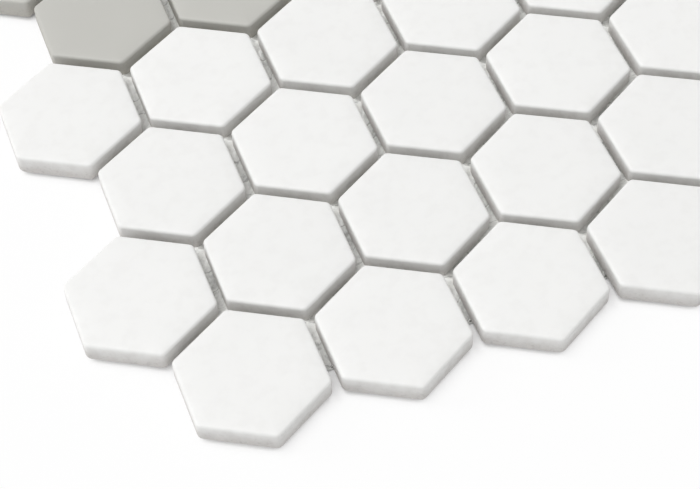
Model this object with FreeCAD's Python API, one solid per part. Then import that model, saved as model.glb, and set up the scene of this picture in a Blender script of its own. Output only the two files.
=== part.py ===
import FreeCAD, Part

import math
import os

# A sheet of hexagonal porcelain mosaic floor tiles, stuck on a glass-fibre net.
# Millimetres. The sheet lies flat with its net on Z = 0 and its glazed faces up.
# The origin is under the middle of the sheet, and the rows of tiles run along X.

# Tile: a pressed hexagon, two of its corners on the Y axis
tile_across_flats = 23.3        # at the collar, the upright upper part of the wall
tile_back_across_flats = 21.7   # below the collar the body narrows to its back
tile_collar_foot = 1.6          # how high above the back the collar starts
tile_thickness = 4.95
tile_edge_round = 0.75          # the soft edge round the glazed face
tile_corner_round = 1.2         # the corners, seen from above

# Sheet: straight rows, each half a tile off the next
joint = 1.7                     # left for grout, from collar to collar
tiles_per_row = 12
rows = 12

# Flower: six grey tiles round a white one
flower_middle = (6, 2)          # row, and place in it, counted from the lower left tile

# Net: one layer of flat yarns across the sheet and one up it, stuck together
strand_width = 0.9
strand_thickness = 0.22
net_cell_x = 4.17               # from one strand to the next along X, before the cells are
net_cell_y = 4.33               # evened out to fill the net, and the same along Y
net_margin = 5.1                # the net stops this far inside the notches of the edge

# Sizes that follow
ROOT_3 = math.sqrt(3)
pitch = tile_across_flats + joint
row_pitch = pitch * ROOT_3 / 2
side_length = tile_across_flats / ROOT_3
net_thickness = 2 * strand_thickness


def tile_centre(row, place):
    """Where a tile stands on the sheet, with rows and places counted from 1."""
    half_step = pitch / 4 if row % 2 else -pitch / 4
    x = (place - (tiles_per_row + 1) / 2) * pitch + half_step
    y = (row - (rows + 1) / 2) * row_pitch
    return FreeCAD.Vector(x, y, 0)


def hexagon(across_flats, height):
    """Corner points of the tile's outline at one height.

    A short flat stands for each rounded corner, and touches the middle of its round.
    """
    corner_cut = tile_corner_round * (2 / ROOT_3 - 1)
    half_side = across_flats / ROOT_3 / 2 - 2 * corner_cut
    points = []
    for side in range(6):
        turn = FreeCAD.Rotation(FreeCAD.Vector(0, 0, 1), 60 * side)
        for end in (-half_side, half_side):
            points.append(turn.multVec(FreeCAD.Vector(across_flats / 2, end, height)))
    return points


def flat_face(points):
    return Part.Face(Part.makePolygon(points + points[:1]))


def wall(lower, upper):
    """The flat faces that join one outline to the next, going round the tile."""
    faces = []
    for here in range(len(lower)):
        after = (here + 1) % len(lower)
        faces.append(flat_face([lower[here], lower[after], upper[after], upper[here]]))
    return faces


def make_tile():
    """One tile with its back on Z = 0: a tapered foot, the upright collar, the edge, the face.

    The press die is straight round the collar and slopes below it, so that the tile comes out.
    One flat stands for the soft edge, and touches the middle of its round.
    """
    edge_cut = tile_edge_round * (2 - math.sqrt(2))
    outlines = [
        hexagon(tile_back_across_flats, 0),
        hexagon(tile_across_flats, tile_collar_foot),
        hexagon(tile_across_flats, tile_thickness - edge_cut),
        hexagon(tile_across_flats - 2 * edge_cut, tile_thickness),
    ]

    faces = [flat_face(outlines[0]), flat_face(outlines[-1])]
    for lower, upper in zip(outlines, outlines[1:]):
        faces += wall(lower, upper)
    shell = Part.makeShell(faces)
    shell.sewShape()
    return Part.Solid(shell)


def placed_tiles(tile, centres):
    """Copies of the tile standing on the net."""
    copies = []
    for centre in centres:
        copy = tile.copy()
        copy.translate(centre + FreeCAD.Vector(0, 0, net_thickness))
        copies.append(copy)
    return copies


def net_strands(length, span, cell, bottom, along_x):
    """A layer of parallel yarns as long as the net, with one along each of its edges."""
    reach = span - strand_width
    cells = round(reach / cell)
    strands = []
    for number in range(cells + 1):
        offset = reach * (number / cells - 1 / 2)
        if along_x:
            corner = FreeCAD.Vector(-length / 2, offset - strand_width / 2, bottom)
            strand = Part.makeBox(length, strand_width, strand_thickness, corner)
        else:
            corner = FreeCAD.Vector(offset - strand_width / 2, -length / 2, bottom)
            strand = Part.makeBox(strand_width, length, strand_thickness, corner)
        strands.append(strand)
    return strands


def export(name, solids):
    """One STEP file for a node, with each of its solids apart from the others."""
    Part.makeCompound(solids).exportStep(os.path.join("parts", name + ".step"))
    print(name, len(solids), "solids")


os.makedirs("parts", exist_ok=True)

tile = make_tile()

# The tiles, row by row, without the six of the flower
flower_centre = tile_centre(*flower_middle)
flower = []
for row in range(1, rows + 1):
    white = []
    for place in range(1, tiles_per_row + 1):
        centre = tile_centre(row, place)
        distance = centre.distanceToPoint(flower_centre)
        on_ring = pitch / 2 < distance < 3 * pitch / 2
        (flower if on_ring else white).append(centre)
    export("white_tiles_row_%02d" % row, placed_tiles(tile, white))
export("grey_tiles", placed_tiles(tile, flower))

# The net ends well inside the notches between the edge tiles, so that nothing of it sticks out
net_length = (tiles_per_row - 1 / 2) * pitch - joint - 2 * net_margin
net_width = (rows - 1) * row_pitch + side_length - 2 * net_margin
export("net_strands_across", net_strands(net_length, net_width, net_cell_y, 0, True))
export("net_strands_up", net_strands(net_width, net_length, net_cell_x, strand_thickness, False))

print("pitch %.2f, row pitch %.2f, net %.1f by %.1f" % (pitch, row_pitch, net_length, net_width))
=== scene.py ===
# %% [markdown]
# # A sheet of hexagon floor tiles
# The real thing is a sheet of small pressed porcelain hexagons, glued face up on a net of glass
# yarn so that a tiler can lay many of them at once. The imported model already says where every
# tile and every strand of the net lies. This lesson gives each of them the shape and the finish
# that show from close by: the soft glazed edge, the ledge that the press leaves on the wall, the
# twisted yarns, and the glue.

import math

import bmesh
import bpy
import numpy as np
from mathutils import Matrix, Vector, noise


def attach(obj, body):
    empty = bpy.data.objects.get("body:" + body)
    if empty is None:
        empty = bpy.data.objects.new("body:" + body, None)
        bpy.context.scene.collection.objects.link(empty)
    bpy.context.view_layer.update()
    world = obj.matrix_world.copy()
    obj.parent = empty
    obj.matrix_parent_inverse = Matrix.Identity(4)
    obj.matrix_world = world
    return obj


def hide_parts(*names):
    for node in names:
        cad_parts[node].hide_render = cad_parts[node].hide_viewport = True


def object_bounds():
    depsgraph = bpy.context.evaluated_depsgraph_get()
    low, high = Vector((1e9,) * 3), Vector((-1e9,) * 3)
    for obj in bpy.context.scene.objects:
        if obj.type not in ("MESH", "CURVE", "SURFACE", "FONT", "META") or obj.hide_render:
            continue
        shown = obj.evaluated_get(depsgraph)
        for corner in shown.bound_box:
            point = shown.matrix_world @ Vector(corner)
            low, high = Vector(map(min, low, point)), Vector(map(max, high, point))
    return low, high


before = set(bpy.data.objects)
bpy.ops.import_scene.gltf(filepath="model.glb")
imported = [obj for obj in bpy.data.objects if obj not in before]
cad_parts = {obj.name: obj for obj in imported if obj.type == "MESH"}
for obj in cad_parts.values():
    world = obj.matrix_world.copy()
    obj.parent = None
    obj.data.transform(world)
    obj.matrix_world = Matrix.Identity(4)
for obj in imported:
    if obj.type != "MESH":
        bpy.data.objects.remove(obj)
cad_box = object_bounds()
MM = 0.001
print("nodes:", len(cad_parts))
print("sheet, mm:", [round(side / MM, 1) for side in cad_box[1] - cad_box[0]])

# %% [markdown]
# ## Where each tile and strand lies
# A row of tiles comes as one node that holds many solids which don't touch. To dress them one by
# one, their places are needed first. They could be typed in as numbers, but then the scene would
# go wrong as soon as the model changes. A flood fill finds them instead: start at any corner,
# walk along edges until nothing new turns up, and that is one solid. Its lowest and highest
# corners say all that is needed here.

# %% Find the solids of a node
SAME_CORNER = 0.001 * MM      # corners closer together than this are one


def solids_of(node_name):
    """The separate solids of a node, each as its lowest and highest corner."""
    shell = bmesh.new()
    shell.from_mesh(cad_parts[node_name].data)
    bmesh.ops.remove_doubles(shell, verts=shell.verts, dist=SAME_CORNER)
    waiting = set(shell.verts)
    found = []
    while waiting:
        reached = [waiting.pop()]
        corners = []
        while reached:
            corner = reached.pop()
            corners.append(corner.co.copy())
            for edge in corner.link_edges:
                other = edge.other_vert(corner)
                if other in waiting:
                    waiting.remove(other)
                    reached.append(other)
        corners = np.array(corners)
        found.append((corners.min(axis=0), corners.max(axis=0)))
    shell.free()
    # From front to back, to a tenth of a millimetre, and then from left to right
    return sorted(found, key=lambda solid: (round(solid[0][1], 4), solid[0][0]))


tile_nodes = sorted(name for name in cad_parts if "tiles" in name)
tile_solids = {name: solids_of(name) for name in tile_nodes}
strands_across = solids_of("net_strands_across")
strands_up = solids_of("net_strands_up")
print("tiles:", sum(len(solids) for solids in tile_solids.values()))
print("strands across:", len(strands_across), "and up:", len(strands_up))

# %% [markdown]
# ## The sizes that the tiles share
# The tiles stand in a lattice: all of them are equally wide, and each is one pitch from the next.
# Their sizes could be copied from a drawing. Measured on the solids, they always fit the model:
# the first tile gives its width and thickness, and its neighbour gives the pitch.

# %% Measure the lattice
first_tile, second_tile = tile_solids["white_tiles_row_01"][:2]
tile_low, tile_high = first_tile
ACROSS_FLATS = tile_high[0] - tile_low[0]
PITCH = second_tile[0][0] - tile_low[0]
BACK_HEIGHT = tile_low[2]
THICKNESS = tile_high[2] - tile_low[2]
print("across flats %.2f mm, pitch %.2f mm" % (ACROSS_FLATS / MM, PITCH / MM))
print("back at %.2f mm, thickness %.2f mm" % (BACK_HEIGHT / MM, THICKNESS / MM))

# %% [markdown]
# ## One pressed tile
# A mosaic tile is pressed from porcelain powder in a steel die. Three things follow from that.
# The body narrows towards its back so that it leaves the die, the top of the wall stays nearly
# upright where the die is straight, and a faint ledge runs round the wall where the two meet.
# The glaze then pulls back from the edge in the kiln and leaves a soft, rounded rim.
#
# A bevelled cylinder with six sides would give a hexagon quickly, but only one bevel. Here the
# tile is drawn the way a potter turns a profile: a short list of insets and heights, and one
# outline that is repeated at each of them.

# %% Draw the outline
CORNER_STEPS = 5
SIDE_STEPS = 2
POINTS_ROUND = 6 * (CORNER_STEPS + 1 + SIDE_STEPS)


def rounded_hexagon(across_flats, corner_radius):
    """Points round a hexagon that has two of its corners on the Y axis."""
    reach = (across_flats / 2 - corner_radius) * 2 / math.sqrt(3)
    arcs = []
    for corner in range(6):
        middle = math.radians(30 + 60 * corner)
        arc = []
        for step in range(CORNER_STEPS + 1):
            angle = middle + math.radians(60 * step / CORNER_STEPS - 30)
            arc.append(np.array([
                reach * math.cos(middle) + corner_radius * math.cos(angle),
                reach * math.sin(middle) + corner_radius * math.sin(angle),
            ]))
        arcs.append(arc)
    outline = []
    for arc, following in zip(arcs, arcs[1:] + arcs[:1]):
        outline += arc
        for step in range(1, SIDE_STEPS + 1):
            share = step / (SIDE_STEPS + 1)
            outline.append(arc[-1] * (1 - share) + following[0] * share)
    return np.array(outline)


print("points round a tile:", POINTS_ROUND)

# %% Draw the profile
EDGE_ROUND = 0.58 * MM
EDGE_STEPS = 6
RIM_ANGLE = math.radians(82)  # where the round of the edge runs out into the crown
CROWN = 0.20 * MM             # the face is this much lower at its rim than at its middle
CROWN_WIDTH = 5.0 * MM        # and it levels out this far in
CROWN_STEPS = (0.1, 0.22, 0.4, 0.65, 1.0)
BACK_INSET = 0.8 * MM         # the back is this much narrower on each side
GROOVE_HEIGHT = 0.5 * MM
LEDGE_HEIGHT = 1.0 * MM


def profile():
    """How far in from the widest place, and how high above the back, going up the wall."""
    steps = [
        # The back and its own soft edge
        (BACK_INSET + 0.50 * MM, 0),
        (BACK_INSET + 0.14 * MM, 0),
        (BACK_INSET + 0.02 * MM, 0.04 * MM),
        (BACK_INSET - 0.10 * MM, 0.14 * MM),
        (BACK_INSET - 0.26 * MM, 0.28 * MM),
        # The groove
        (0.42 * MM, GROOVE_HEIGHT - 0.08 * MM),
        (0.38 * MM, GROOVE_HEIGHT),
        (0.30 * MM, GROOVE_HEIGHT + 0.10 * MM),
        # The ledge, and the start of the upright collar
        (0.17 * MM, LEDGE_HEIGHT - 0.14 * MM),
        (0.13 * MM, LEDGE_HEIGHT - 0.03 * MM),
        (0.05 * MM, LEDGE_HEIGHT + 0.12 * MM),
        (0.02 * MM, LEDGE_HEIGHT + 0.34 * MM),
    ]
    rim = THICKNESS - CROWN
    for step in range(EDGE_STEPS + 1):
        angle = RIM_ANGLE * step / EDGE_STEPS
        inset = EDGE_ROUND * (1 - math.cos(angle))
        steps.append((inset, rim - EDGE_ROUND * (1 - math.sin(angle))))
    for share in CROWN_STEPS:
        inset = EDGE_ROUND + share * CROWN_WIDTH
        steps.append((inset, THICKNESS - CROWN * (1 - share) ** 3))
    return steps


PROFILE = profile()
print("rings up a tile:", len(PROFILE))

# %% Skin the tile
CORNER_ROUND = 1.2 * MM
SMALLEST_ROUND = 0.35 * MM


def tile_shape():
    """Points and faces of one tile, with its back on Z = 0."""
    points = [(0, 0, 0)]
    for inset, height in PROFILE:
        round_here = max(CORNER_ROUND - inset, SMALLEST_ROUND)
        for x, y in rounded_hexagon(ACROSS_FLATS - 2 * inset, round_here):
            points.append((x, y, height))
    points.append((0, 0, THICKNESS))

    faces = []
    top = 1 + (len(PROFILE) - 1) * POINTS_ROUND
    for here in range(POINTS_ROUND):
        after = (here + 1) % POINTS_ROUND
        faces.append((0, 1 + after, 1 + here))
        for low in range(1, top, POINTS_ROUND):
            high = low + POINTS_ROUND
            faces.append((low + here, low + after, high + after, high + here))
        faces.append((top + here, top + after, len(points) - 1))
    return np.array(points), faces


TILE_POINTS, TILE_FACES = tile_shape()
print("points in a tile:", len(TILE_POINTS), "faces:", len(TILE_FACES))

# %% [markdown]
# ## The rows
# No two tiles come out of the kiln quite alike, and the glue lets them settle a hair off their
# places. A sheet of perfect copies looks like a drawing, so each tile gets a turn of a fraction
# of a degree, a shift of a few hundredths of a millimetre and a tone of its own. The tone is kept
# as a number on every point of the mesh, which the material reads later: that keeps a row one
# object with one material.
#
# Objects linked to one mesh would be lighter, but then every tile would be an object, and the
# row's own node is what they stand for.

# %% Place a tile a little off its place
SHIFT = 0.05 * MM
TURN = math.radians(0.22)
TILT = math.radians(0.10)
chance = np.random.default_rng(seed=12)  # a fixed seed, so that each run gives the same sheet


def settled_tile(middle):
    """The points of one tile, standing a little off its place but inside the sheet's box."""
    turn = Matrix.Rotation(chance.normal(0, TURN), 3, "Z")
    nod = Matrix.Rotation(chance.normal(0, TILT), 3, "X")
    lean = Matrix.Rotation(chance.normal(0, TILT), 3, "Y")
    shift = np.array([*chance.normal(0, SHIFT, 2), 0])
    points = TILE_POINTS @ np.array(nod @ lean @ turn).T + middle + shift
    points += np.maximum(np.array(cad_box[0]) - points.min(axis=0), 0)
    points -= np.maximum(points.max(axis=0) - np.array(cad_box[1]), 0)
    return points


print("usual shift %.2f mm, usual turn %.2f degrees" % (SHIFT / MM, math.degrees(TURN)))

# %% Build a row of tiles
def smooth_object(name, mesh, material):
    """A new object that shows a mesh with smooth shading and one material."""
    mesh.polygons.foreach_set("use_smooth", [True] * len(mesh.polygons))
    mesh.materials.append(material)
    made = bpy.data.objects.new(name, mesh)
    bpy.context.scene.collection.objects.link(made)
    return made


def build(name, points, faces, material):
    """A new object from lists of points and faces."""
    mesh = bpy.data.meshes.new(name)
    mesh.from_pydata(points, [], faces)
    return smooth_object(name, mesh, material)


def keep_on_points(made, name, numbers):
    """Keep a number for each point of the mesh, for its material to read."""
    made.data.attributes.new(name, "FLOAT", "POINT").data.foreach_set("value", numbers)


def build_row(name, solids, material):
    """One object that holds a tile for each solid, each with a tone of its own."""
    points, faces, tones = [], [], []
    for low, high in solids:
        middle = (low + high) / 2
        middle[2] = BACK_HEIGHT
        first = len(points) * len(TILE_POINTS)
        points.append(settled_tile(middle))
        faces += [tuple(first + corner for corner in face) for face in TILE_FACES]
        tones += [chance.uniform(-1, 1)] * len(TILE_POINTS)
    row = build(name, np.concatenate(points), faces, material)
    keep_on_points(row, "tone", tones)
    return row


print("points in the first row:", len(tile_solids["white_tiles_row_01"]) * len(TILE_POINTS))

# %% [markdown]
# ## Nodes in a few words
# A finish is a tree of nodes. It could be wired by hand in the shader editor, but a script has to
# make it again on each run. Most of the wiring is always the same: noise of a certain size,
# a range of values stretched onto another, a sum, a blend of two colours and a bump. Each gets a
# short helper, so that a finish reads like a recipe. The places on an object are metres here, so
# a noise size in millimetres turns into a scale with one division.

# %% Helpers that start a material
def start_material(name):
    """A new node material, its node tree and its shader."""
    material = bpy.data.materials.new(name)
    material.use_nodes = True
    tree = material.node_tree
    return material, tree, tree.nodes["Principled BSDF"]


def feed(tree, socket, value):
    """Link another socket to this one, or set this one to a plain value."""
    if isinstance(value, bpy.types.NodeSocket):
        tree.links.new(value, socket)
    else:
        socket.default_value = value


def add_node(tree, kind, settings=None, **inputs):
    """A node with some of its settings and inputs filled in. An input may be a socket or a value."""
    node = tree.nodes.new(kind)
    for setting, value in (settings or {}).items():
        setattr(node, setting, value)
    for name, value in inputs.items():
        feed(tree, node.inputs[name.replace("_", " ")], value)
    return node


def place_on_object(tree):
    """Where a point lies, in the object's own metres."""
    return add_node(tree, "ShaderNodeTexCoord").outputs["Object"]


def part_of_place(tree, where, axis):
    """One of the three numbers of a place."""
    return add_node(tree, "ShaderNodeSeparateXYZ", Vector=where).outputs[axis]


def kept_number(tree, name):
    """A number that was kept on the points of the mesh."""
    return add_node(tree, "ShaderNodeAttribute", {"attribute_name": name}).outputs["Fac"]


# %% Helpers for noise, sums and blends
USUAL_NOISE = (0.3, 0.7)      # most values of a noise lie between these
FIRST_COLOUR = 6              # a Mix node keeps its sockets for colours at these places
SECOND_COLOUR = 7
MIXED_COLOUR = 2


def arithmetic(tree, operation, *values):
    """A sum, a product and so on of sockets and plain numbers."""
    node = add_node(tree, "ShaderNodeMath", {"operation": operation})
    for socket, value in zip(node.inputs, values):
        feed(tree, socket, value)
    return node.outputs[0]


def stretch(tree, value, low, high, new_low=0.0, new_high=1.0):
    """Map a range of values onto another, with smooth ends."""
    node = add_node(
        tree, "ShaderNodeMapRange", {"interpolation_type": "SMOOTHSTEP"},
        Value=value, From_Min=low, From_Max=high, To_Min=new_low, To_Max=new_high,
    )
    return node.outputs["Result"]


def grain(tree, where, size, detail=2.0):
    """Noise whose lumps are about the given size in metres."""
    node = add_node(tree, "ShaderNodeTexNoise", Vector=where, Scale=1 / size, Detail=detail)
    return node.outputs["Fac"]


def patches(tree, where, size, low=0.0, high=1.0, detail=2.0, between=USUAL_NOISE):
    """Noise that runs from low to high. The noise beyond the two values in between is cut off."""
    return stretch(tree, grain(tree, where, size, detail), *between, low, high)


def blend_colours(tree, share, first, second):
    """The first colour where the share is 0, the second where it is 1."""
    node = add_node(tree, "ShaderNodeMix", {"data_type": "RGBA"}, Factor=share)
    for place, colour in ((FIRST_COLOUR, first), (SECOND_COLOUR, second)):
        is_socket = isinstance(colour, bpy.types.NodeSocket)
        feed(tree, node.inputs[place], colour if is_socket else (*colour, 1))
    return node.outputs[MIXED_COLOUR]


def bump(tree, height, depth, **more):
    """The tilt of a surface that stands up by the given depth where the height is 1."""
    node = add_node(tree, "ShaderNodeBump", Height=height, Distance=depth, **more)
    return node.outputs["Normal"]


# %% [markdown]
# ## Glaze over porcelain
# The face is a satin glaze: nearly white, with a sheen that is broad and quiet, and a skin that
# is not quite flat, a little like the skin of an egg. Lower on the wall the glaze thins out and
# the bare pressed body shows, which is duller, a touch warmer and grainy. The colour grows darker
# from the rim down to the foot: partly the bare body's own colour, and partly painted shade where
# the foot of the wall lies in shade. A little dust from the press stays on it as specks, and along
# the ledge the colour is darker, in patches.
#
# Two materials with a border between them would show a hard line. One material that blends by
# height is closer to the real thing, with some noise added to the height so that the glaze ends
# unevenly.

# %% Thin the glaze out down the wall, with painted shade towards the foot
GLAZE_FULL_AND_LIT = BACK_HEIGHT + 5.2 * MM
GLAZE_GONE_AND_SHADED = BACK_HEIGHT + 0.9 * MM
TONGUE_SIZE = 2.2 * MM        # the glaze ends in tongues about this wide
TONGUE_REACH = 0.4 * MM       # and they reach this far up or down


def glaze_and_light_cover(tree, where, height):
    """1 where the glaze is full and unshaded, and 0 where the body is bare and the painted shade is
    deepest.
    """
    tongues = patches(tree, where, TONGUE_SIZE, -TONGUE_REACH, TONGUE_REACH)
    return stretch(tree, arithmetic(tree, "ADD", height, tongues), GLAZE_GONE_AND_SHADED, GLAZE_FULL_AND_LIT)


print("the glaze thins out over %.1f mm" % ((GLAZE_FULL_AND_LIT - GLAZE_GONE_AND_SHADED) / MM))

# %% Colour the glaze
CLOUD_SIZE = 9 * MM
TONE_PART = 0.6               # how much of a tile's shade is its own tone
CLOUD_PART = 0.4              # and how much is clouds
DEEPEST_GLAZE = 0.978         # the darkest shade, as a share of the lightest


def glaze_colour(tree, where, glaze):
    """Nearly even: a tone for the whole tile, and broad faint clouds."""
    tone = stretch(tree, kept_number(tree, "tone"), -1, 1, 0, TONE_PART)
    clouds = patches(tree, where, CLOUD_SIZE, 0, CLOUD_PART, detail=1.0)
    shade = arithmetic(tree, "ADD", tone, clouds)
    return blend_colours(tree, shade, [part * DEEPEST_GLAZE for part in glaze], glaze)


print("clouds in the glaze, mm:", round(CLOUD_SIZE / MM, 1))

# %% Colour the body, and make it darker along its ledge
SPECK_SIZE = 0.6 * MM
FEW_SPECKS = (0.5, 0.7)       # only the upper half of the noise makes a speck
LEDGE_DARKENING = 0.35             # how much darker the ledge is where it is darkest
FULLY_DARKER_WITHIN = 0.05 * MM  # of the ledge
NOT_DARKER_BEYOND = 0.25 * MM
LEDGE_PATCH_SIZE = 2.5 * MM
MOSTLY_DARKER = (0.35, 0.6)


def body_colour(tree, where, body, dust):
    """The pressed body, with specks of dust."""
    specks = patches(tree, where, SPECK_SIZE, detail=4.0, between=FEW_SPECKS)
    return blend_colours(tree, specks, body, dust)


def darker_along_ledge(tree, where, height):
    """How much darker it is here: some near the ledge, in patches, and none elsewhere."""
    above_ledge = arithmetic(tree, "SUBTRACT", height, BACK_HEIGHT + LEDGE_HEIGHT)
    from_ledge = arithmetic(tree, "ABSOLUTE", above_ledge)
    on_ledge = stretch(tree, from_ledge, FULLY_DARKER_WITHIN, NOT_DARKER_BEYOND, LEDGE_DARKENING, 0)
    patchy = patches(tree, where, LEDGE_PATCH_SIZE, between=MOSTLY_DARKER)
    return arithmetic(tree, "MULTIPLY", on_ledge, patchy)


print("dust up to %.2f mm above and below the ledge" % (NOT_DARKER_BEYOND / MM))

# %% Give the porcelain its skin
EGG_SKIN_SIZE = 3.2 * MM
EGG_SKIN_DEPTH = 0.03 * MM
EGG_SKIN_STRENGTH = 0.6
PRESS_GRAIN_SIZE = 0.16 * MM
PRESS_GRAIN_DEPTH = 0.035 * MM


def porcelain_skin(tree, where, glazed_and_lit):
    """Shallow waves all over, and a fine grain where the body is bare."""
    waves = grain(tree, where, EGG_SKIN_SIZE, 1.0)
    egg_skin = bump(tree, waves, EGG_SKIN_DEPTH, Strength=EGG_SKIN_STRENGTH)
    bare = arithmetic(tree, "SUBTRACT", 1.0, glazed_and_lit)
    press_grain = arithmetic(tree, "MULTIPLY", grain(tree, where, PRESS_GRAIN_SIZE, 3.0), bare)
    return bump(tree, press_grain, PRESS_GRAIN_DEPTH, Normal=egg_skin)


print("waves %.1f mm and grain %.2f mm wide" % (EGG_SKIN_SIZE / MM, PRESS_GRAIN_SIZE / MM))

# %% Make the two porcelains
GLAZE_ROUGHNESS = 0.5
BODY_ROUGHNESS = 0.85
GLAZE_IOR = 1.5


def porcelain(name, glaze, body, dust):
    """Satin glaze on the face that thins into bare body down the wall, darker towards the foot: partly
    the body's own colour, partly painted shade.
    """
    material, tree, shader = start_material(name)
    where = place_on_object(tree)
    height = part_of_place(tree, where, "Z")
    glazed_and_lit = glaze_and_light_cover(tree, where, height)
    bare_and_shaded_colour = body_colour(tree, where, body, dust)
    colour = blend_colours(tree, glazed_and_lit, bare_and_shaded_colour, glaze_colour(tree, where, glaze))
    colour = blend_colours(tree, darker_along_ledge(tree, where, height), colour, dust)
    rough = stretch(tree, glazed_and_lit, 0, 1, BODY_ROUGHNESS, GLAZE_ROUGHNESS)
    feed(tree, shader.inputs["Base Color"], colour)
    feed(tree, shader.inputs["Roughness"], rough)
    feed(tree, shader.inputs["Normal"], porcelain_skin(tree, where, glazed_and_lit))
    shader.inputs["IOR"].default_value = GLAZE_IOR
    return material


# The bodies are darker than the glazes: partly their own colour, and partly painted shade for the shaded
# foot of the wall.
white_porcelain = porcelain(
    "white_porcelain",
    glaze=(0.925, 0.925, 0.912),
    body=(0.67, 0.65, 0.63),
    dust=(0.59, 0.57, 0.55),
)
grey_porcelain = porcelain(
    "grey_porcelain",
    glaze=(0.555, 0.55, 0.515),
    body=(0.54, 0.525, 0.485),
    dust=(0.485, 0.465, 0.43),
)
print("materials:", white_porcelain.name, grey_porcelain.name)

# %% [markdown]
# ## Lay the rows
# The sheet is white, with a flower of six grey tiles round a white one. The grey ones could be
# painted by their places in a single material. They are a node of their own in the model, so they
# get an object and a porcelain of their own too, like the real ones, which are coloured through.
# Each row rides on the body, hides the plain node that it stands for, and says which finish it has.

# %% Lay the rows of tiles
for node_name in tile_nodes:
    grey = node_name == "grey_tiles"
    piece_name = "grey_porcelain_flower" if grey else node_name.replace("white_tiles", "white_porcelain")
    row = build_row(piece_name, tile_solids[node_name], grey_porcelain if grey else white_porcelain)
    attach(row, "root")
    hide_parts(node_name)
    print(piece_name, len(tile_solids[node_name]), "tiles")

# %% [markdown]
# ## The net
# The net is a leno weave. The yarns that run across lie flat, like tapes. Each strand that runs up
# the sheet is a pair of thin yarns: one passes over every tape, the other under it, and the two
# change sides between one tape and the next, which is what locks the weave. It only shows in
# the joints and from behind.
#
# Curves with a bevel would do, but an oval section that keeps its flat side down is easier to
# hold with a few lines of array code, and the number of faces stays known.

# %% Measure the net
def first_and_cell(strands, axis):
    """Where the middle of the first strand is, and how far it is to the next strand."""
    low, high = strands[0]
    return (low[axis] + high[axis]) / 2, strands[1][0][axis] - low[axis]


TAPE_LINE, TAPE_CELL = first_and_cell(strands_across, 1)
PAIR_LINE, PAIR_CELL = first_and_cell(strands_up, 0)
NET_TOP = strands_up[0][1][2]
NET_MIDDLE = NET_TOP / 2
print("cells %.2f by %.2f mm, net %.2f mm thick" % (PAIR_CELL / MM, TAPE_CELL / MM, NET_TOP / MM))

# %% Skin a bundle of yarns
YARN_HALF_HEIGHT = 0.07 * MM


def skin_yarns(name, paths, left, half_width, sides, material):
    """Ovals along each path, joined into closed yarns. Each path has its swell at each point.

    Left is the left side of the way that the paths run, so that the faces look outwards.
    """
    angles = 2 * math.pi * (np.arange(sides) + 0.5) / sides
    wide = np.outer(np.cos(angles), left)
    tall = np.outer(np.sin(angles), (0, 0, 1))
    points, faces, first = [], [], 0
    for path, swell in paths:
        width = wide[None] * (half_width * swell)[:, None, None]
        rings = path[:, None] + width + tall[None] * YARN_HALF_HEIGHT
        points.append(rings.reshape(-1, 3))
        last = first + (len(path) - 1) * sides
        for low in range(first, last, sides):
            high = low + sides
            for here in range(sides):
                after = (here + 1) % sides
                faces.append((low + here, low + after, high + after, high + here))
        faces.append(tuple(first + here for here in reversed(range(sides))))
        faces.append(tuple(last + here for here in range(sides)))
        first += len(path) * sides
    return build(name, np.concatenate(points), faces, material)


print("yarns are %.2f mm thick" % (2 * YARN_HALF_HEIGHT / MM))

# %% [markdown]
# ## Coated glass yarn
# Glass yarn is a bundle of filaments, finer than hair, under a milky coat of resin. Every filament
# could be a curve of its own, but nobody looks close enough to tell them apart. A very fine noise
# in the bump breaks up the shine as the filaments do. A broader one stands for the coat: where it
# is thick, the yarn is lighter and smoother.

# %% Make the yarn's finish
COAT_PATCH_SIZE = 1.8 * MM
FILAMENT_SIZE = 0.12 * MM
FILAMENT_DEPTH = 0.04 * MM
THIN_COAT = (0.72, 0.73, 0.70)
THICK_COAT = (0.84, 0.85, 0.82)
THIN_COAT_ROUGHNESS = 0.55
THICK_COAT_ROUGHNESS = 0.35


def glass_yarn():
    """Glass filaments lying side by side under a milky coat of resin."""
    material, tree, shader = start_material("coated_glass_yarn")
    where = place_on_object(tree)
    coat = patches(tree, where, COAT_PATCH_SIZE)
    rough = stretch(tree, coat, 0, 1, THIN_COAT_ROUGHNESS, THICK_COAT_ROUGHNESS)
    filaments = bump(tree, grain(tree, where, FILAMENT_SIZE, 1.0), FILAMENT_DEPTH)
    feed(tree, shader.inputs["Base Color"], blend_colours(tree, coat, THIN_COAT, THICK_COAT))
    feed(tree, shader.inputs["Roughness"], rough)
    feed(tree, shader.inputs["Normal"], filaments)
    return material


yarn_finish = glass_yarn()
print("material:", yarn_finish.name)

# %% [markdown]
# ## The tapes across
# A tape is never as straight as a ruler: it wanders by a tenth of a millimetre, it is wider here
# and narrower there, and its ends are cut unevenly. A long box would be one line of code, but look
# like plastic. So each tape follows points that wander with a slow noise, and a second noise sets
# its width.

# %% Weave the tapes across
TAPE_HALF_WIDTH = 0.43 * MM
TAPE_SIDES = 6
LEFT_OF_TAPES = (0, 1, 0)
UNEVEN_CUT = 0.5 * MM         # the ends of the tapes are up to this much short
TAPE_WANDER = 0.10 * MM
TAPE_SWELL = 0.93             # the usual width, as a share of the widest
SWELL_CHANGE = 0.12
SLOW = 90                     # a wander along a yarn: this many changes in a metre


def wander(x, y, seed, changes):
    """A number between -1 and 1 that changes smoothly with the place, the same on each run."""
    return noise.noise(Vector((x, y, seed)) * changes)


def tape_path(low, high):
    """The points that a tape follows, and its swell at each of them."""
    short = chance.uniform(0, UNEVEN_CUT, 2)
    along = np.linspace(low[0] + short[0], high[0] - short[1], 2 * len(strands_up))
    level = (low[1] + high[1]) / 2
    path = [(x, level + TAPE_WANDER * wander(x, level, 0, SLOW), NET_MIDDLE) for x in along]
    swell = [TAPE_SWELL + SWELL_CHANGE * wander(3 * x, level, 5, SLOW) for x in along]
    return np.array(path), np.minimum(swell, 1)


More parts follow.
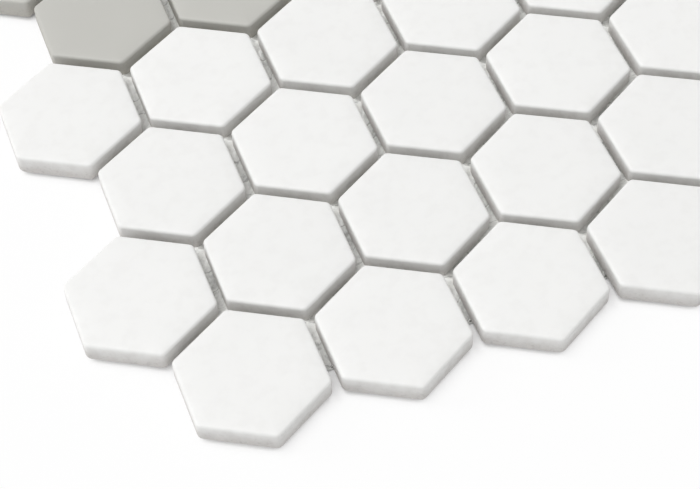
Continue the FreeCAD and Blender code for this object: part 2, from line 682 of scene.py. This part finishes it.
tapes = [tape_path(low, high) for low, high in strands_across]
net_tapes = skin_yarns("net_tapes_across", tapes, LEFT_OF_TAPES, TAPE_HALF_WIDTH, TAPE_SIDES, yarn_finish)
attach(net_tapes, "root")
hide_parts("net_strands_across")
print("tapes:", len(tapes), "faces:", len(net_tapes.data.polygons))

# %% [markdown]
# ## The pairs up the sheet
# The two yarns of a pair swing from side to side, and one of them rises over each tape while the
# other dips under it. Their points could be placed by hand for one cell and repeated, but the
# joins would show. One cosine along the strand gives all of it: the cosine itself is the swing to
# the side, and its square is the rise over the tape, or the dip under it.

# %% Draw a yarn of a pair
PAIR_HALF_WIDTH = 0.20 * MM
PAIR_SIDES = 5
LEFT_OF_PAIRS = (-1, 0, 0)
PAIR_SWING = 0.235 * MM
PAIR_WANDER = 0.08 * MM
STEPS_PER_CELL = 4
OVER = NET_TOP - YARN_HALF_HEIGHT
UNDER = YARN_HALF_HEIGHT


def pair_path(low, high, upper):
    """One yarn of a pair: over or under each tape, and on the other side at the next one."""
    middle = (low[0] + high[0]) / 2
    first_tape = strands_across[0][0][1] + TAPE_HALF_WIDTH
    count = STEPS_PER_CELL * (len(strands_across) - 1)
    between = first_tape + np.arange(count + 1) * TAPE_CELL / STEPS_PER_CELL
    along = np.concatenate([[low[1]], between, [high[1]]])
    swing = np.cos(math.pi * (along - first_tape) / TAPE_CELL)
    side = PAIR_SWING if upper else -PAIR_SWING
    resting = OVER if upper else UNDER
    crossing = NET_MIDDLE + (YARN_HALF_HEIGHT if upper else -YARN_HALF_HEIGHT)
    sideways = np.array([middle + PAIR_WANDER * wander(middle, y, 9, SLOW) for y in along])
    heights = crossing + (resting - crossing) * swing**2
    return np.column_stack([sideways + side * swing, along, heights])


print("a yarn's middle is at %.2f mm under a tape and at %.2f mm over it" % (UNDER / MM, OVER / MM))

# %% Twist the pairs up the sheet
for name, upper in (("net_yarns_over", True), ("net_yarns_under", False)):
    pairs = [pair_path(low, high, upper) for low, high in strands_up]
    paths = [(path, np.ones(len(path))) for path in pairs]
    yarns = skin_yarns(name, paths, LEFT_OF_PAIRS, PAIR_HALF_WIDTH, PAIR_SIDES, yarn_finish)
    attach(yarns, "root")
    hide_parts("net_strands_up")
    print(name, "faces:", len(yarns.data.polygons))

# %% [markdown]
# ## The glue's finish
# The tiles are stuck to the net with a clear glue that dries slightly milky. It looks milky where
# it is thick, and dark where it is thin and clear.
#
# Glue that really lets light through would need many more samples to come out without noise, and
# it is seen in narrow joints only. So the clear parts are just a darker colour: painted shade, for
# the shaded gap that shows through them. How milky the glue is at each point is worked out with
# the shape and kept on the mesh, together with painted shade towards the feet of the tiles, and the
# material adds what is too fine for the mesh: clouds, a painted shadow beside each tape, and a
# painted highlight on it.

# %% Make the glue's finish
LINE_WANDER_SIZE = 3 * MM
LINE_WANDER = 0.7 * MM
LINE_WIDTH = (0.95, 1.0)      # the part of a cosine's top that counts as the line
# A painted shadow as a thin dark line beside each tape, and a painted highlight as a light line on it.
PAINTED_SHADOW_LINE = 0.5 * MM          # from the middle of each tape
PAINTED_HIGHLIGHT_LINE = 0.1 * MM
SHADOW_DARKENING = -0.7
HIGHLIGHT_LIGHTENING = 0.4
# Painted shade: the clear glue takes the colour of the shaded gap that shows through it.
CLEAR_GLUE_PAINTED_SHADE = (0.53, 0.535, 0.52)
MILKY_GLUE = (0.93, 0.935, 0.91)
GLUE_CLOUD_SIZE = 0.9 * MM
GLUE_CLOUDS = 0.3             # how much lighter or darker a cloud is
SHARP_CLOUDS = (0.35, 0.65)
RIPPLE_SIZE = 0.8 * MM
RIPPLE_DEPTH = 0.08 * MM
GLUE_ROUGHNESS = 0.3


def beside_each_tape(tree, where, offset):
    """1 on a thin wavy line along every tape, this far from its middle, and 0 elsewhere."""
    wave = patches(tree, where, LINE_WANDER_SIZE, -LINE_WANDER, LINE_WANDER)
    level = arithmetic(tree, "ADD", part_of_place(tree, where, "Y"), wave)
    from_line = arithmetic(tree, "SUBTRACT", level, TAPE_LINE + offset)
    turn = arithmetic(tree, "MULTIPLY", from_line, 2 * math.pi / TAPE_CELL)
    return stretch(tree, arithmetic(tree, "COSINE", turn), *LINE_WIDTH)


def dried_glue():
    """Glossy and light where it is milky; where it is clear, painted shade for the gap under it, with a
    painted shadow and a painted highlight at each tape.
    """
    material, tree, shader = start_material("dried_glue")
    where = place_on_object(tree)
    clouds = patches(tree, where, GLUE_CLOUD_SIZE, -GLUE_CLOUDS, GLUE_CLOUDS, 4.0, SHARP_CLOUDS)
    share = arithmetic(tree, "ADD", kept_number(tree, "milk_and_shade"), clouds)
    for offset, change in ((PAINTED_SHADOW_LINE, SHADOW_DARKENING), (PAINTED_HIGHLIGHT_LINE, HIGHLIGHT_LIGHTENING)):
        line = beside_each_tape(tree, where, offset)
        share = arithmetic(tree, "MULTIPLY_ADD", line, change, share)
    ripples = bump(tree, grain(tree, where, RIPPLE_SIZE), RIPPLE_DEPTH)
    feed(tree, shader.inputs["Base Color"], blend_colours(tree, share, CLEAR_GLUE_PAINTED_SHADE, MILKY_GLUE))
    feed(tree, shader.inputs["Normal"], ripples)
    shader.inputs["Roughness"].default_value = GLUE_ROUGHNESS
    return material


glue_finish = dried_glue()
print("material:", glue_finish.name)

# %% [markdown]
# ## Glue behind the tiles
# Each tile is pressed into wet glue, which spreads into a blot between its back and the net.
# Metaballs would melt such blots together, at a high price in faces. A blot is only a low dome
# with an uneven rim, so a few rings of points are enough, and a noise that is read round a circle
# makes the rim uneven without a break where it closes.

# %% Shape a blot
BLOT_POINTS = 28
BLOT_LOW = 0.17 * MM
BLOT_HIGH = BACK_HEIGHT + 0.02 * MM  # just inside the tile, so that it touches all over
BOTTOM_REACH = 0.80           # shares of the blot's widest reach
TOP_REACH = 0.86
RIM_UNEVENNESS = 0.22
RIM_LOBES = 1.3               # a larger circle through the noise gives more lobes
BLOTS_APART = 60              # moves each blot to a place of its own in the noise


def blot(middle, reach):
    """A closed flat drop: a point below, three rings with an uneven rim, and a point above."""
    x, y = middle[:2]
    rings = ((BLOT_LOW, BOTTOM_REACH), ((BLOT_LOW + BLOT_HIGH) / 2, 1), (BLOT_HIGH, TOP_REACH))
    points = [(x, y, BLOT_LOW)]
    for level, share in rings:
        for number in range(BLOT_POINTS):
            angle = 2 * math.pi * number / BLOT_POINTS
            way = Vector((math.cos(angle), math.sin(angle), 0))
            on_circle = Vector((x, y, 0)) * BLOTS_APART + way * RIM_LOBES
            size = reach * share * (1 + RIM_UNEVENNESS * noise.noise(on_circle))
            points.append((x + way.x * size, y + way.y * size, level))
    points.append((x, y, BLOT_HIGH))
    return points


def blot_faces(first):
    """The faces of one blot, whose points start at the given number."""
    faces = []
    top = first + 1 + 2 * BLOT_POINTS
    for here in range(BLOT_POINTS):
        after = (here + 1) % BLOT_POINTS
        faces.append((first, first + 1 + after, first + 1 + here))
        for low in range(first + 1, top, BLOT_POINTS):
            high = low + BLOT_POINTS
            faces.append((low + here, low + after, high + after, high + here))
        faces.append((top + here, top + after, top + BLOT_POINTS))
    return faces


print("faces in a blot:", len(blot_faces(0)))

# %% Put the glue behind the tiles
BLOT_REACH = 9.3 * MM
BLOT_SIZES = (0.9, 1.05)      # the smallest and the largest blot, as shares of that reach
OFF_MIDDLE = 0.5 * MM
BLOT_MILK = 0.7


def spread_glue(name):
    """One object that holds a blot for every tile."""
    points, faces = [], []
    for solids in tile_solids.values():
        for low, high in solids:
            middle = (low + high) / 2 + chance.normal(0, OFF_MIDDLE, 3)
            reach = BLOT_REACH * chance.uniform(*BLOT_SIZES)
            faces += blot_faces(len(points))
            points += blot(middle, reach)
    made = build(name, points, faces, glue_finish)
    keep_on_points(made, "milk_and_shade", [BLOT_MILK] * len(points))
    return made


glue_behind = spread_glue("glue_behind_tiles")
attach(glue_behind, "root")
print("faces in the blots:", len(glue_behind.data.polygons))

# %% [markdown]
# ## The film in the joints
# A thin film of glue hangs in the joints from one yarn to the next, with a dip in each cell of the
# net. At its sides it creeps up the feet of the tiles, and where three tiles meet it is heaped up
# between their corners.
#
# A cloth laid over the net by simulation would sag in the same way, but take minutes. Here the film
# is a strip of points along each joint, and a few sums say how high each point hangs. Strips end
# in a point, so that three of them meet in a corner between three tiles, and once their doubled
# points are merged they are one skin. A Solidify modifier makes it thick.

# %% Find the joints
JOINT_BEARINGS = (0, 60, 120)  # from one tile to the next, in degrees
CLOSE_ENOUGH = 0.1 * PITCH

tile_middles = np.array([(low + high) / 2 for solids in tile_solids.values() for low, high in solids])
joints = []
for bearing in JOINT_BEARINGS:
    angle = math.radians(bearing)
    step = PITCH * np.array([math.cos(angle), math.sin(angle), 0])
    for middle in tile_middles:
        to_neighbour = np.linalg.norm(tile_middles - middle - step, axis=1).min()
        if to_neighbour < CLOSE_ENOUGH:
            joints.append((middle + step / 2, angle))
print("joints:", len(joints))

# %% Say how high the film hangs
FILM_LOW = 0.10 * MM          # between two yarns
FILM_HIGH = 0.36 * MM         # over a yarn
FILM_HALF_WIDTH = 1.8 * MM
FILM_THICKNESS = 0.05 * MM
HELD_WANDER = 0.5 * MM        # how far off a tape the film may be highest
HELD_NARROWLY = 5             # a higher power gives narrower ridges over the yarns
LUMP_HEIGHT = 0.12 * MM
HEAP_HEIGHT = 2.2 * MM
HEAP_HALF_WIDTH = 2.2 * MM
CREEP_FROM = 0.5 * MM         # from here on the glue creeps up the feet of the tiles
CREEP_HEIGHT = 2.2 * MM
WAVY = 500                    # changes in a metre, as SLOW is for the yarns
LUMPY = 900


def held_up(x, y):
    """1 over a yarn and 0 well away from one."""
    off_tape = HELD_WANDER * wander(x, y, 1, WAVY)
    over_tape = math.cos(2 * math.pi * (y - TAPE_LINE + off_tape) / TAPE_CELL)
    over_pair = math.cos(2 * math.pi * (x - PAIR_LINE) / PAIR_CELL)
    return max(over_tape, over_pair, 0) ** HELD_NARROWLY


def film_height(x, y, aside, share):
    """The height of the film at a place in a joint.

    Aside is how far the place is from the joint's middle line. Share is 0 halfway along the joint,
    and 1 or -1 at its ends.
    """
    lumps = LUMP_HEIGHT * wander(x, y, 0, LUMPY)
    hung = FILM_LOW + (FILM_HIGH - FILM_LOW) * held_up(x, y) + lumps
    heap = HEAP_HEIGHT * abs(share) ** 3 * max(1 - (aside / HEAP_HALF_WIDTH) ** 2, 0)
    up_the_side = max(abs(aside) - CREEP_FROM, 0) / (FILM_HALF_WIDTH - CREEP_FROM)
    creep = CREEP_HEIGHT * up_the_side**2 * (1 - abs(share) ** 3)
    return max(min(hung, FILM_HIGH), FILM_THICKNESS) + heap + creep


joint_x, joint_y = joints[0][0][:2]
print("film in the middle of a joint: %.2f mm up" % (film_height(joint_x, joint_y, 0, 0) / MM))

# %% [markdown]
# ## Where the film is milky, and its painted shade
# Glue dries milky where it lies thick: in the heaps by the corners, along the middle of a joint,
# and in patches where more of it was spread. Towards the sides it is made clear, and so dark: that
# is painted shade at the feet of the tiles, where their walls overhang the film. That could be
# painted on the mesh by hand. A sum does it for all the joints at once: more by the corners, less
# towards the sides, and two noises for the patches and for finer streaks.

# %% Say how milky the film is
MILK = 1.35
MILK_AT_CORNERS = 3.0
# Beyond this the film turns clear and dark: painted shade at the feet of the tiles.
MILKY_UNSHADED_HALF_WIDTH = 1.25 * MM
PATCH_CHANGE = 1.2
STREAK_CHANGE = 0.7
PATCHY = 150                  # changes in a metre


def milk_and_painted_shade(x, y, aside, share):
    """1 where the glue is thick and milky, by the corners and in patches, and 0 where it is clear, which
    towards the sides is painted shade.
    """
    patchy = PATCH_CHANGE * wander(x, y, 7, PATCHY)
    streaky = STREAK_CHANGE * wander(x, y, 3, LUMPY)
    milk_and_shade = MILK + MILK_AT_CORNERS * share**4 - (aside / MILKY_UNSHADED_HALF_WIDTH) ** 2 + patchy + streaky
    return min(max(milk_and_shade, 0), 1)


print("milkiness there: %.2f" % milk_and_painted_shade(joint_x, joint_y, 0, 0))

# %% Shape the film in one joint
FILM_ACROSS = np.array([-1, -0.72, -0.36, 0, 0.36, 0.72, 1]) * FILM_HALF_WIDTH
FILM_ALONG = np.linspace(-1, 1, 19)


def film_points(middle, angle):
    """Points over one joint and their milkiness with its painted shade, row by row. The strip ends in a
    point at both ends.
    """
    across = np.array([math.cos(angle), math.sin(angle)])
    along = np.array([-math.sin(angle), math.cos(angle)])
    points, milk_and_shade = [], []
    for share in FILM_ALONG:
        for aside in FILM_ACROSS:
            reach = (PITCH / 2 - abs(aside)) / math.sqrt(3)
            x, y = middle[:2] + aside * across + share * reach * along
            points.append((x, y, film_height(x, y, aside, share)))
            milk_and_shade.append(milk_and_painted_shade(x, y, aside, share))
    return points, milk_and_shade


print("points in a strip:", len(FILM_ACROSS) * len(FILM_ALONG))

# %% Join the strips and cut them where the net ends
SAME_POINT = 0.02 * MM


def cut_to_net(skin):
    """Take away what reaches past the middles of the outer yarns."""
    front_left, back_right = strands_across[0][0], strands_across[-1][1]
    sides = (
        (front_left, (-1, 0, 0)),
        (front_left, (0, -1, 0)),
        (back_right, (1, 0, 0)),
        (back_right, (0, 1, 0)),
    )
    for edge, outward in sides:
        everything = skin.verts[:] + skin.edges[:] + skin.faces[:]
        inside = Vector(edge) - Vector(outward) * TAPE_HALF_WIDTH
        bmesh.ops.bisect_plane(skin, geom=everything, plane_co=inside, plane_no=outward, clear_outer=True)


def film_over(joints):
    """One mesh of all the strips, merged where they meet and cut off where the net ends."""
    wide = len(FILM_ACROSS)
    skin = bmesh.new()
    milk_and_shade_layer = skin.verts.layers.float.new("milk_and_shade")
    for middle, angle in joints:
        dots = []
        for point, milk_and_shade in zip(*film_points(middle, angle)):
            dots.append(skin.verts.new(point))
            dots[-1][milk_and_shade_layer] = milk_and_shade
        for row in range(len(FILM_ALONG) - 1):
            for here in range(row * wide, row * wide + wide - 1):
                after = here + wide
                skin.faces.new((dots[here], dots[here + 1], dots[after + 1], dots[after]))
    bmesh.ops.remove_doubles(skin, verts=skin.verts, dist=SAME_POINT)
    cut_to_net(skin)
    mesh = bpy.data.meshes.new("glue_film")
    skin.to_mesh(mesh)
    skin.free()
    return mesh


film_skin = film_over(joints)
print("faces in the film:", len(film_skin.polygons))

# %% Hang the film in the joints
film = smooth_object("glue_film_in_joints", film_skin, glue_finish)
thicken = film.modifiers.new("thickness", "SOLIDIFY")
thicken.thickness = FILM_THICKNESS
thicken.offset = -1
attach(film, "root")
print("film %.2f mm thick" % (thicken.thickness / MM))

# %% [markdown]
# ## The ground
# The sheet lies on a plain white ground. The floor is a real surface, so that it takes the
# sheet's shadow and throws light back on the walls of the tiles. That bounced light is most of
# what lights them.
#
# In the picture the open ground is washed out to white, and only close to the tiles does it look
# like a floor in their shadow. More light would do that, but wash out the tiles too. Here a Light
# Path node adds the white for the camera and for reflections only, and an Ambient Occlusion node
# takes it away again beside the tiles.

# %% Helpers for what only the camera sees
def seen_directly(tree):
    """1 for rays from the camera, and for what shows in gloss or through glass, and otherwise 0."""
    rays = add_node(tree, "ShaderNodeLightPath").outputs
    seen = arithmetic(tree, "MAXIMUM", rays["Is Camera Ray"], rays["Is Glossy Ray"])
    return arithmetic(tree, "MAXIMUM", seen, rays["Is Transmission Ray"])


def mix_shaders(tree, share, first, second):
    """The first shader where the share is 0, the second where it is 1."""
    mix = add_node(tree, "ShaderNodeMixShader", Fac=share)
    tree.links.new(first.outputs[0], mix.inputs[1])
    tree.links.new(second.outputs[0], mix.inputs[2])
    return mix.outputs[0]


# %% Lay the floor
FLOOR_HALF = 4.0
FLOOR_COLOURS = ((0.972, 0.972, 0.972), (0.98, 0.98, 0.98))
MOTTLE_SIZE = 60 * MM
SKY_HIDDEN_WITHIN = 6 * MM    # only what stands closer than this hides the sky from the ground
HIDDEN_SKY = 0.05
OPEN_SKY = 0.6
LEAST_WASHED_OUT = 0.05
MOST_WASHED_OUT = 0.86
PURE_WHITE = (1, 1, 1, 1)


def matt_floor():
    """Dull white, and washed out in the picture where nothing stands close by."""
    material, tree, shader = start_material("white_floor")
    mottle = grain(tree, place_on_object(tree), MOTTLE_SIZE)
    feed(tree, shader.inputs["Base Color"], blend_colours(tree, mottle, *FLOOR_COLOURS))
    shader.inputs["Roughness"].default_value = 1.0
    shader.inputs["Specular IOR Level"].default_value = 0.0
    white = add_node(tree, "ShaderNodeEmission", Color=PURE_WHITE, Strength=1.0)
    occlusion = add_node(tree, "ShaderNodeAmbientOcclusion", {"samples": 8}, Distance=SKY_HIDDEN_WITHIN)
    sky = occlusion.outputs["AO"]
    washed_out = stretch(tree, sky, HIDDEN_SKY, OPEN_SKY, LEAST_WASHED_OUT, MOST_WASHED_OUT)
    share = arithmetic(tree, "MULTIPLY", seen_directly(tree), washed_out)
    surface = mix_shaders(tree, share, shader, white)
    tree.links.new(surface, tree.nodes["Material Output"].inputs["Surface"])
    return material


floor_corners = [(x * FLOOR_HALF, y * FLOOR_HALF, 0) for x, y in ((-1, -1), (1, -1), (1, 1), (-1, 1))]
floor = build("floor", floor_corners, [(0, 1, 2, 3)], matt_floor())
print("floor:", 2 * FLOOR_HALF, "m wide")

# %% [markdown]
# ## The surround
# The ground fades into a white surround. It shows as white to the camera and in reflections, but
# gives only a weak light of its own, and a Light Path node tells the two apart. If the surround
# were lit at full white, the shadows would wash out.

# %% Light the surround
AMBIENT = 0.44


def white_surround():
    """White to the eye, but the light that it gives is weak."""
    world = bpy.data.worlds.new("white_surround")
    world.use_nodes = True
    tree = world.node_tree
    tree.nodes.clear()
    weak = add_node(tree, "ShaderNodeBackground", Color=PURE_WHITE, Strength=AMBIENT)
    white = add_node(tree, "ShaderNodeBackground", Color=PURE_WHITE, Strength=1.0)
    surface = mix_shaders(tree, seen_directly(tree), weak, white)
    add_node(tree, "ShaderNodeOutputWorld", Surface=surface)
    return world


bpy.context.scene.world = white_surround()
print("ambient share:", AMBIENT)

# %% [markdown]
# ## Two soft lamps
# The left walls of the tiles are nearly as bright as their faces, and the shadows fall to the
# right and are short and blurred. One large lamp high on the left gives the short shadows. It
# hangs a little behind the sheet, so that the front walls stay grey. A second, low one lights the
# upper part of the left walls. A single lamp halfway between would leave the glue at the bottom
# of the joints too dark. The low one is kept out of reflections, because from across the sheet
# it would shine on the glaze as a patch of pure white.
#
# The lamps and the surround share out the light so that together they light a level white
# surface to just white. A lamp's light falls off with the square of its distance, and a level
# surface takes the sine of the lamp's height in it, which is where the power comes from.

# %% Hang the lamps
LAMP_AWAY = 2.6
LAMP_SIZE = 1.2
HIGH_LAMP = {"bearing": 168, "height": 71}  # degrees from +X to +Y, and degrees above the floor
LOW_LAMP = {"bearing": 150, "height": 28}
LOW_SHARE = 0.09
TOWARDS_CORNER = 0.6          # the lamps aim this far from the sheet's middle to its front left corner
lit_place = Vector((cad_box[0][0] * TOWARDS_CORNER, cad_box[0][1] * TOWARDS_CORNER, 0))


def hang_lamp(name, share, bearing, height):
    """A square lamp that gives this share of the light on a level surface."""
    bearing, height = math.radians(bearing), math.radians(height)
    from_place = Vector((
        math.cos(bearing) * math.cos(height),
        math.sin(bearing) * math.cos(height),
        math.sin(height),
    ))
    light = bpy.data.lights.new(name, "AREA")
    light.shape = "SQUARE"
    light.size = LAMP_SIZE
    light.energy = math.pi**2 * LAMP_AWAY**2 * share / math.sin(height)
    lamp = bpy.data.objects.new(name, light)
    lamp.location = lit_place + LAMP_AWAY * from_place
    lamp.rotation_mode = "QUATERNION"
    lamp.rotation_quaternion = from_place.to_track_quat("Z", "Y")
    bpy.context.scene.collection.objects.link(lamp)
    print("%s: %.1f W" % (name, light.energy))
    return lamp


hang_lamp("high_lamp", 1 - AMBIENT - LOW_SHARE, **HIGH_LAMP)
low_lamp = hang_lamp("low_lamp", LOW_SHARE, **LOW_LAMP)
low_lamp.visible_glossy = False

# %% [markdown]
# ## The camera
# The picture looks down on the lower left corner of the sheet, from the front and a little from
# the left. A camera's place, the point it looks at and its roll are easier to think about than
# three angles, so the rotation is built from them: forward is the way to the point, right is
# level, and the roll tips both right and up about the forward way.

# %% Place the camera
LOOK_AT = Vector((-107.07, -101.08, 5.39)) * MM
CAMERA_AWAY = 319.63 * MM
CAMERA_BEARING = math.radians(19.252)  # from +Y towards +X
CAMERA_DOWN = math.radians(53.116)
CAMERA_ROLL = math.radians(-2.059)
SENSOR_WIDTH = 36             # a camera's sensor and lens are measured in millimetres
FOCAL_LENGTH = 96.09
NEAREST_SEEN = 5 * MM

forward = Vector((
    math.sin(CAMERA_BEARING) * math.cos(CAMERA_DOWN),
    math.cos(CAMERA_BEARING) * math.cos(CAMERA_DOWN),
    -math.sin(CAMERA_DOWN),
))
level_right = forward.cross(Vector((0, 0, 1))).normalized()
level_up = level_right.cross(forward)
right = math.cos(CAMERA_ROLL) * level_right + math.sin(CAMERA_ROLL) * level_up
up = right.cross(forward)

lens = bpy.data.cameras.new("camera")
lens.sensor_width = SENSOR_WIDTH
lens.lens = FOCAL_LENGTH
lens.clip_start = NEAREST_SEEN
camera = bpy.data.objects.new("camera", lens)
turned = Matrix((right, up, -forward)).transposed().to_4x4()
camera.matrix_world = Matrix.Translation(LOOK_AT - CAMERA_AWAY * forward) @ turned
bpy.context.scene.collection.objects.link(camera)
bpy.context.scene.camera = camera
bpy.context.scene.view_settings.view_transform = "Standard"
print("camera at, mm:", [round(part / MM, 1) for part in camera.matrix_world.translation])
